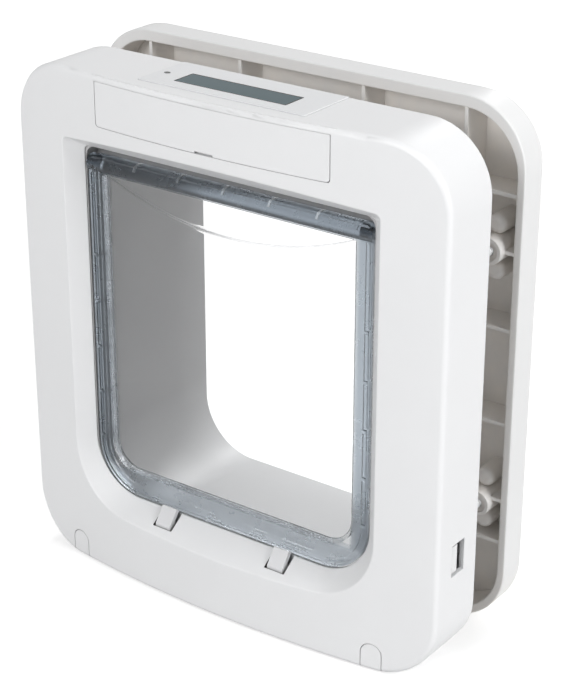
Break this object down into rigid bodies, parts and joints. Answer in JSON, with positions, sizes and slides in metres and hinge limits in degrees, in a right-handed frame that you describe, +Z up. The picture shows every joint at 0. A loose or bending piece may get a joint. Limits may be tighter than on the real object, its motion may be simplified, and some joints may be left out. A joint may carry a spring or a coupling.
{
  "type": "cat flap",
  "caption": "White plastic cat flap for a door: bowed interior unit with display, battery door and sill latches, a clear top-hinged flap in a tunnel, and a ribbed exterior frame.",
  "frame": {"origin": "on the floor under the middle of the bounding box", "axes": "+Z up, +Y from the room through the door to the outside, +X to the right seen from the room"},
  "size_m": [0.262, 0.1116, 0.2845],
  "materials": {
    "white_shell": "satin moulded white",
    "clear_flap": "clear with a faint blue cast",
    "latch_grey": "satin light grey",
    "window_dark": "gloss dark slate",
    "led_lens": "diffusing grey lens",
    "steel": "bright zinc",
    "contact_metal": "nickel plated",
    "solenoid_case": "dark plated frame",
    "holder_black": "fine texture",
    "board_green": "solder mask",
    "chip_black": "moulded",
    "coil_winding": "enamelled winding",
    "cell_wrap": "plain printed wrap"
  },
  "bodies": {
    "case": {"front_cover": "white_shell", "screw_cover_left": "white_shell", "screw_cover_right": "white_shell", "display_bezel": "white_shell", "chassis": "white_shell", "exterior_frame": "white_shell", "display_window": "window_dark", "status_led": "led_lens", "fixing_screws": "steel", "case_screws": "steel", "board_screws": "steel", "battery_contact_left": "contact_metal", "battery_contact_right": "contact_metal", "lock_solenoid_left": "solenoid_case", "lock_solenoid_right": "solenoid_case", "battery_holder": "holder_black", "main_board": "board_green", "board_parts": "chip_black", "display_module": "chip_black", "antenna_coil": "coil_winding", "battery_cell_1": "cell_wrap", "battery_cell_2": "cell_wrap", "battery_cell_3": "cell_wrap", "battery_cell_4": "cell_wrap"},
    "flap": {"flap": "clear_flap", "hinge_pin_left": "steel", "hinge_pin_right": "steel"},
    "latch_left": {"latch_left": "latch_grey", "latch_plunger_left": "steel"},
    "latch_right": {"latch_right": "latch_grey", "latch_plunger_right": "steel"},
    "battery_door": {"battery_door": "white_shell"}
  },
  "joints": [
    {"name": "flap_hinge", "type": "hinge", "parent": "case", "child": "flap", "pos_m": [0, -0.03735, 0.2301], "axis": [1, 0, 0], "range_deg": [0, 75]},
    {"name": "latch_left_drop", "type": "slide", "parent": "case", "child": "latch_left", "axis": [0, 0, -1], "range_m": [0, 0.006], "stiffness_N_per_m": 60, "springref_m": -0.004},
    {"name": "latch_right_drop", "type": "slide", "parent": "case", "child": "latch_right", "axis": [0, 0, -1], "range_m": [0, 0.006], "stiffness_N_per_m": 60, "springref_m": -0.004},
    {"name": "battery_door_pull", "type": "slide", "parent": "case", "child": "battery_door", "axis": [0, -1, 0], "range_m": [0, 0.03]}
  ]
}
